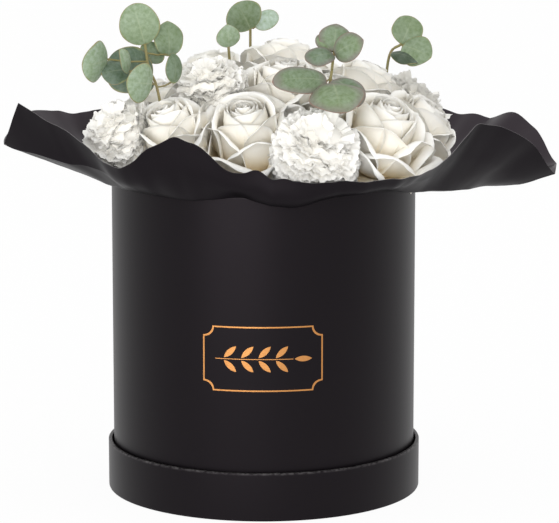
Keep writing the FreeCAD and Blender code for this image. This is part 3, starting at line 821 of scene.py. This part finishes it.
def collar_profile(values, crisp):
    """(reach, height) points from inside the box, over the rim, to the free edge, with crisp folds or not."""
    metres = [value * MM for value in values]
    belly_reach, belly_height, fold_reach, fold_height, edge_reach, edge_height = metres
    crown_reach = BODY_RADIUS - WALL / 2
    bend = crown_reach - COLLAR_RADIUS
    profile = []
    for step in range(INSIDE_STEPS):
        profile.append(Vector((COLLAR_RADIUS, COLLAR_FOOT + (RIM - COLLAR_FOOT) * step / INSIDE_STEPS)))
    for step in range(RIM_STEPS):
        turn = math.radians(180 - RIM_STEP_ANGLE * step)
        profile.append(Vector((crown_reach + bend * math.cos(turn), RIM - RIM_SINK + bend * math.sin(turn))))
    free = [profile[-1], Vector((belly_reach, belly_height)), Vector((fold_reach, fold_height)),
            Vector((edge_reach, edge_height))]
    runs = len(free) - 1
    for step in range(1, FREE_STEPS + 1):
        place = runs * step / FREE_STEPS
        run = min(int(place), runs - 1)
        straight = free[run].lerp(free[run + 1], place - run)
        profile.append(between(free, step / FREE_STEPS).lerp(straight, crisp if run else 0.0))
    return profile


def collar_lines():
    """The profile of the collar at every step round the box."""
    folds = []
    for angle, belly_reach, belly_height, edge_reach, edge_height in COLLAR_ROWS:
        bulge = NEAR_BULGE if NEAR_PANEL[0] < angle < NEAR_PANEL[1] else COLLAR_BULGE
        bulged = ((belly_reach + edge_reach) / 2 + bulge, (belly_height + edge_height) / 2 - bulge)
        folds.append(COLLAR_FOLDS.get(angle, bulged))
    places, belly_reaches, belly_heights, edge_reaches, edge_heights = zip(*COLLAR_ROWS)
    columns = [belly_reaches, belly_heights, *zip(*folds), edge_reaches, edge_heights]
    column_rises = [rises(places, column) for column in columns]
    lines = []
    for step in range(COLLAR_STEPS):
        angle = 360.0 * step / COLLAR_STEPS - 180.0
        crisp = 0.0
        for rising, risen, falling, fallen in FLAT_SPANS:
            crisp += smoothstep(rising, risen, angle) * (1 - smoothstep(falling, fallen, angle))
        lines.append(collar_profile(collar_values(angle, places, columns, column_rises), crisp))
    return lines


def rested(point, lines):
    """The point lifted onto the free part of the collar's paper where it would go through that part."""
    reach = math.hypot(point.x, point.y)
    if reach < BODY_RADIUS:
        return point
    step = round((math.degrees(math.atan2(point.y, point.x)) + 180.0) * COLLAR_STEPS / 360.0) % COLLAR_STEPS
    free = lines[step][FREE_START:]
    for inner, outer in zip(free, free[1:]):
        if inner.x <= reach < outer.x:
            paper = inner.y + (outer.y - inner.y) * (reach - inner.x) / (outer.x - inner.x)
            return Vector((point.x, point.y, max(point.z, paper + PETAL_LIFT)))
    return point


def make_collar(profiles):
    """One sheet of paper held between the box and the cup, with its folds and crumples."""
    lines = []
    for step, profile in enumerate(profiles):
        angle = math.radians(360.0 * step / COLLAR_STEPS - 180.0)
        turn = Vector((math.cos(angle), math.sin(angle), 0))
        line = []
        for index, (reach, height) in enumerate(profile):
            point = turn * reach + UP * height
            loose = smoothstep(*CRUMPLE_REACH, reach)
            crease = noise.ridged_multi_fractal(point * CRUMPLE_SCALE, *CRUMPLE_RIDGES) - 1.0
            free = smoothstep(*FLUTTER_SHARE, index / (len(profile) - 1))
            flutter = free * noise.noise(turn * FLUTTER_SCALE)
            line.append(point + UP * (CRUMPLE * loose * crease + FLUTTER * flutter))
        lines.append(line)
    rows = [list(row) for row in zip(*lines)]
    surface = Surface()
    surface.grid(rows, closed=True)
    collar = surface.build("collar", collar_paper_material())
    collar.data.materials.append(collar_inside_material())
    collar.data.materials.append(cut_edge_material())
    collar.data.set_sharp_from_angle(angle=math.radians(CREASE_ANGLE))
    free_edge = (len(rows) - 1) * COLLAR_STEPS
    for edge in collar.data.edges:
        if min(edge.vertices) >= free_edge:
            edge.use_edge_sharp = True
    sheet = collar.modifiers.new("paper", "SOLIDIFY")
    sheet.thickness = COLLAR_THICKNESS
    sheet.offset = 1.0
    sheet.material_offset = 1
    # The sheet's rim, its cut edge, takes the painted edge highlight
    sheet.material_offset_rim = 2
    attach(collar, "arrangement")
    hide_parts("paper_collar")


def axis_of(lean):
    """Unit vector with the given lean in x and y."""
    return Vector((lean[0], lean[1], math.sqrt(1 - lean[0] ** 2 - lean[1] ** 2)))


def placement(flower, height):
    """Matrix from a head's own space, foot at the origin and opening along +Z, to its place."""
    centre, lean, radius, turn = flower
    axis = axis_of(lean)
    foot = Vector(centre) - axis * height * radius
    tilt = UP.rotation_difference(axis)
    spin = Quaternion(UP, math.radians(turn))
    size = Matrix.Scale(radius * MM, 4)
    return Matrix.Translation(foot * MM) @ (tilt @ spin).to_matrix().to_4x4() @ size


def contacts(name):
    """Planes where a head meets its neighbours, as (point, direction to the neighbour)."""
    flowers = {**ROSES, **CARNATIONS}
    middles = {key: Vector(flower[0]) - axis_of(flower[1]) * flower[2] / 2 for key, flower in flowers.items()}
    planes = []
    for other in flowers:
        way = middles[other] - middles[name]
        reach = flowers[name][2] + flowers[other][2]
        if other != name and way.length < HEAD_REACH * reach:
            contact = (middles[name] + way * flowers[name][2] / reach) * MM
            planes.append((contact + way.normalized() * PRESS_OVERLAP, way.normalized()))
    return planes


def pressed(point, planes):
    """The point pushed back where a neighbouring flower is in its way."""
    for contact, way in planes:
        depth = (point - contact).dot(way) + PRESS_DEPTH
        if depth > 0:
            point = point - way * (depth - PRESS_DEPTH * depth / (depth + PRESS_DEPTH))
    return point


def petal_cup(foot, belly, lip, count):
    """Middle line of a cupped petal from foot to lip: (reach, height) point, length so far, slope."""
    lower = Vector((belly * CUP_LOWER[0], foot[1] + CUP_LOWER[1]))
    upper = Vector((belly * CUP_UPPER[0], lip[1] * CUP_UPPER[1]))
    handles = [Vector(foot), lower, upper, Vector(lip)]
    line = []
    length = 0.0
    for step in range(count):
        share = math.sin(math.pi / 2 * step / (count - 1))
        rest = 1 - share
        point = (handles[0] * rest ** 3 + handles[1] * 3 * share * rest ** 2
                 + handles[2] * 3 * share ** 2 * rest + handles[3] * share ** 3)
        slope = ((handles[1] - handles[0]) * rest ** 2 + (handles[2] - handles[1]) * 2 * share * rest
                 + (handles[3] - handles[2]) * share ** 2).normalized()
        if line:
            length += (point - line[-1][0]).length
        line.append((point, length, slope))
    return line


def rose_petal(petal, columns=17, count=15):
    """Rows of points of one petal in head radii: a cup with a rounded outline whose edge rolls outwards."""
    line = petal_cup(petal["foot"], petal["belly"], petal["lip"], count)
    total = line[-1][1]
    waist = PETAL_WAIST * total
    power = PETAL_POWER
    out = Vector((math.cos(petal["turn"]), math.sin(petal["turn"]), 0))
    side = Vector((-out.y, out.x, 0))
    rows = []
    tints = []
    for point, along, slope in line:
        row = []
        tint = []
        # The outline widens from the claw to the waist and is round from there to the lip
        if along < waist:
            half = petal["width"] * (PETAL_CLAW + (1 - PETAL_CLAW) * math.sin(math.pi / 2 * along / waist))
        else:
            half = petal["width"] * max(1 - ((along - waist) / (total - waist)) ** power, 0.0) ** (1 / power)
        bend = max(petal["bend"] * point.x, TIGHTEST_BEND)
        for column in range(columns):
            # Across, the petal is bent round the bud
            across = half * math.sin(math.pi / 2 * (2 * column / (columns - 1) - 1))
            angle = across / bend
            radial = out * math.cos(angle) + side * math.sin(angle)
            sideways = side * math.cos(angle) - out * math.sin(angle)
            place = out * (point.x - bend + petal["twist"] * across) + radial * bend + UP * point.y
            outward = (radial * slope.y - UP * slope.x).normalized()
            upward = radial * slope.x + UP * slope.y
            # The edge rolls outwards: margin is the distance to it and toward the way
            if along < waist:
                toward = sideways * (1.0 if across > 0 else -1.0)
                margin = half - abs(across)
                roll = petal["roll"] * smoothstep(ROLL_START * waist, waist, along)
            else:
                level = (along - waist) / (total - waist)
                ring = ((abs(across) / petal["width"]) ** power + level ** power) ** (1 / power)
                margin = math.hypot(across, along - waist) * (1 / max(ring, 1e-4) - 1)
                lean = math.copysign((abs(across) / petal["width"]) ** (power - 1) / petal["width"], across)
                rise = level ** (power - 1) / (total - waist)
                toward = (sideways * lean + upward * rise).normalized()
                roll = petal["roll"]
            roll *= ROLL_MIDDLE + (1 - ROLL_MIDDLE) * smoothstep(0.0, 0.55, abs(across) / petal["width"])
            past = roll * petal["curl"] - margin
            if past > 0:
                bent = past / petal["curl"]
                place += toward * (petal["curl"] * math.sin(bent) - past)
                place += outward * (petal["curl"] * (1 - math.cos(bent)))
            wave = math.sin(petal["phase"] + PETAL_WAVES * across / petal["width"])
            place += outward * petal["wave"] * wave * smoothstep(0.4, 1.0, along / total)
            row.append(place)
            # Tint is low at the foot, where the painted warm shade of the recesses goes, and rises towards
            # the lip
            pale_lip = LIP_TINT * smoothstep(LIP_WIDTH, 0.0, margin)
            tint.append(petal["tint"] * smoothstep(0.15, 0.95, along / total) + pale_lip)
        rows.append(row)
        tints.append(tint)
    return rows, tints


def rose_petals(seed):
    """The petals of one rose, in head radii, from the bud at age 0 to age 1 and the guards past it."""
    chance = random.Random(seed)
    petals = []
    for index in range(ROSE_PETALS + ROSE_GUARDS):
        age = min(index / (ROSE_PETALS - 1), 1.0)
        past = max(index - ROSE_PETALS + 1, 0)
        # Lips close over the bud, open with age, and are lower the further out they are
        belly = 0.07 + 0.86 * age ** 0.85
        opening = smoothstep(0.15, 0.7, age)
        spread = 0.74 + 0.16 * age + 0.66 * smoothstep(0.55, 1.0, age) + 0.04 * past
        height = 1.42 - 0.05 * (1 - age) ** 4 - 0.66 * age ** 2.4 - 0.07 * past
        petals.append({
            "foot": (0.05 + 0.07 * age, 0.06 + 0.05 * (1 - age)),
            "belly": belly,
            "lip": (belly * spread, height + chance.uniform(-0.03, 0.03)),
            "width": 0.30 + 0.52 * age ** 0.6,
            "bend": 1.0 + 0.35 * age,
            "roll": math.radians(12 + 118 * opening + chance.uniform(-22, 22)),
            "curl": 0.045 + 0.105 * opening,
            "twist": 0.10 + chance.uniform(-0.03, 0.03),
            "wave": 0.010 + 0.016 * age,
            "phase": chance.uniform(*PHASES),
            "turn": math.radians(GOLDEN_ANGLE * index + chance.uniform(-8, 8)),
            # Inner petals get more of the painted shade, as they sit deep in the bud
            "tint": 0.72 + 0.28 * age,
        })
    return petals


def make_head(name, flower, height, petals, profiles, petal_finish, stem_finish):
    """One flower: petals placed and pressed against the neighbours, on its stem."""
    place = placement(flower, height)
    planes = contacts(name)
    surface = Surface()
    for rows, tints in petals:
        placed = [[rested(pressed(place @ point, planes), profiles) for point in row] for row in rows]
        surface.grid(placed, tints)
    bloom = surface.build(name + "_bloom", petal_finish)
    foot = place.translation
    axis = axis_of(flower[1])
    stalk = Surface()
    line = [foot - axis * STEM_LENGTH, foot - axis * STEM_LENGTH / 2, place @ (UP * STEM_ENTRY)]
    stalk.tube(line, STEM_RADIUS)
    stem = stalk.build(name + "_stem", stem_finish)
    for piece in (bloom, stem):
        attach(piece, "arrangement")
    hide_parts(name)
    return bloom


def carnation_petal(petal, columns=41, count=12):
    """Rows of points of one frilled petal in head radii: a fan on a narrow claw that bends outwards."""
    out = Vector((math.cos(petal["turn"]), math.sin(petal["turn"]), 0))
    side = Vector((-out.y, out.x, 0))
    place = UP * CARNATION_MIDDLE
    rows = []
    tints = []
    for step in range(count):
        along = step / (count - 1)
        lean = petal["lean"] + petal["bend"] * smoothstep(0.4, 1.0, along)
        way = out * math.sin(lean) + UP * math.cos(lean)
        across_way = Quaternion(way, petal["roll"]) @ side
        face = way.cross(across_way)
        half = petal["width"] * (CLAW_WIDTH + (1 - CLAW_WIDTH) * along ** 1.2)
        row = []
        for column in range(columns):
            across = 2 * column / (columns - 1) - 1
            teeth = abs(math.remainder(across * TEETH_WAVES + petal["phase"], 2.0)) * TEETH * along ** 4
            ruffle = RUFFLE * along ** 2 * math.sin(petal["phase"] + RUFFLE_WAVES * across)
            ruffle += FRILL * along ** 1.5 * math.sin(2.3 * petal["phase"] + FRILL_WAVES * across)
            fan = FAN_ROUND * along * across ** 2
            row.append(place + across_way * half * across + face * ruffle - way * (teeth + fan))
        rows.append(row)
        # Claws deep in the head are tinted towards the painted warm shade
        tints.append([CLAW_TINT + (1 - CLAW_TINT) * along] * columns)
        place = place + way * petal["length"] / (count - 1)
    return rows, tints


def carnation_core(rows_count=13, columns=24):
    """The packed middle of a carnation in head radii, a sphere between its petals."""
    rows = []
    for step in range(rows_count):
        lean = math.pi * step / (rows_count - 1)
        ring = []
        for column in range(columns):
            turn = 2 * math.pi * column / (columns - 1)
            way = Vector((math.sin(lean) * math.cos(turn), math.sin(lean) * math.sin(turn), math.cos(lean)))
            ring.append(UP * CARNATION_MIDDLE + way * CARNATION_CORE)
        rows.append(ring)
    return rows, [[CORE_TINT] * columns for row in rows]


def carnation_petals(seed):
    """The petals of one carnation from the middle outwards, each a set of sizes in head radii."""
    chance = random.Random(seed)
    petals = []
    for index in range(CARNATION_PETALS):
        share = math.sqrt((index + 0.5) / CARNATION_PETALS)
        petals.append({
            "lean": math.radians(108 * share + chance.uniform(-7, 7)),
            "bend": math.radians(chance.uniform(20, 60) * (1 - 0.6 * share)),
            "turn": math.radians(GOLDEN_ANGLE * index + chance.uniform(-12, 12)),
            "roll": chance.uniform(-0.6, 0.6),
            "width": chance.uniform(0.40, 0.56),
            "length": chance.uniform(0.96, 1.12),
            "phase": chance.uniform(*PHASES),
        })
    return petals


def make_flowers(stem, profiles):
    """Every rose and carnation, resting on the collar."""
    rose_white = petal_material("rose_petal", ROSE_WHITE, ROSE_CREAM, ROSE_PAINTED_SHADE)
    carnation_white = petal_material("carnation_petal", CARNATION_WHITE, CARNATION_CREAM, CARNATION_PAINTED_SHADE)
    for seed, (name, flower) in enumerate(ROSES.items()):
        petals = [rose_petal(petal) for petal in rose_petals(seed)]
        bloom = make_head(name, flower, ROSE_HEIGHT, petals, profiles, rose_white, stem)
    for seed, (name, flower) in enumerate(CARNATIONS.items()):
        ruffled = carnation_petals(CARNATION_SEED + seed)
        petals = [carnation_core()] + [carnation_petal(petal) for petal in ruffled]
        bloom = make_head(name, flower, CARNATION_HEIGHT, petals, profiles, carnation_white, stem)


def leaf_grid(foot, tip, width, face, pointed, seed, columns=25, count=31):
    """Rows of points of a cupped round leaf, with its distance from the rim as tint."""
    chance = random.Random(seed)
    along = (Vector(tip) - Vector(foot)) * MM
    length = along.length
    along.normalize()
    across = Vector(face).cross(along).normalized()
    outward = along.cross(across)
    fold = chance.uniform(*LEAF_FOLDS)
    wave = chance.uniform(*LEAF_WAVES)
    phase = chance.uniform(*PHASES)
    rows = []
    tints = []
    for step in range(count):
        share = 0.5 - 0.5 * math.cos(math.pi * step / (count - 1))
        swell = max(1 - (2 * share - 1) ** 2, 0.0) ** (0.5 if share < 0.5 else pointed)
        half = swell * width * MM / 2 * (1 + wave * math.sin(phase + 8 * share))
        row = []
        tint = []
        for column in range(columns):
            place = math.sin(math.pi / 2 * (2 * column / (columns - 1) - 1))
            ring = math.hypot(place * swell, 2 * share - 1)
            lift = LEAF_CUP * (1 - ring ** 2) + fold * abs(place) * swell
            lift += wave * math.sin(phase + 3 * math.atan2(place * swell, 2 * share - 1)) * ring ** 3
            point = Vector(foot) * MM + along * (length * share) + across * (half * place)
            row.append(point + outward * (lift * length * LEAF_DEPTH))
            tint.append(min(swell * (1 - abs(place)), 1 - abs(2 * share - 1)))
        rows.append(row)
        tints.append(tint)
    return rows, tints


def smooth_path(points, steps=6):
    """Points on a smooth line through the given ones."""
    count = steps * (len(points) - 1)
    path = [Vector(point) * MM for point in points]
    return [between(path, step / count) for step in range(count + 1)]


def make_sprig(name, points, leaves, green, stem):
    """One sprig: its twig, its leaves and the stalk from each leaf to the twig."""
    path = smooth_path(points)
    blades = Surface()
    twigs = Surface()
    twigs.tube(path, TWIG_RADIUS)
    for seed, (foot, tip, width, face, tone, pointed) in enumerate(leaves):
        blades.grid(*leaf_grid(foot, tip, width, face, pointed, name + str(seed)), tone=tone)
        root = Vector(foot).lerp(Vector(tip), LEAF_ROOT) * MM
        node = min(path[len(path) // 3:], key=lambda place: (place - root).length)
        if (root - node).length > TWIG_RADIUS:
            middle = (node + root) / 2 - UP * PETIOLE_SAG
            twigs.tube([node, middle, root], PETIOLE_RADIUS, PETIOLE_SIDES)
    foliage = blades.build(name + "_leaves", green)
    body = foliage.modifiers.new("blade", "SOLIDIFY")
    body.thickness = BLADE_THICKNESS
    branch = twigs.build(name + "_twig", stem)
    for piece in (foliage, branch):
        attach(piece, "arrangement")
    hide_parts(name)


def make_sprigs(stem):
    """Every sprig, with plum-tinged leaves on one and sage ones on the others."""
    finishes = {name: leaf_material(name, *finish) for name, finish in LEAF_FINISHES.items()}
    for name, (points, leaves) in SPRIGS.items():
        green = finishes["leaf_plum" if name == PLUM_SPRIG else "leaf_sage"]
        make_sprig(name, points, leaves, green, stem)


make_stage()
make_camera()
make_card()
profiles = collar_lines()
make_collar(profiles)
stem = stem_material()
make_flowers(stem, profiles)
make_sprigs(stem)
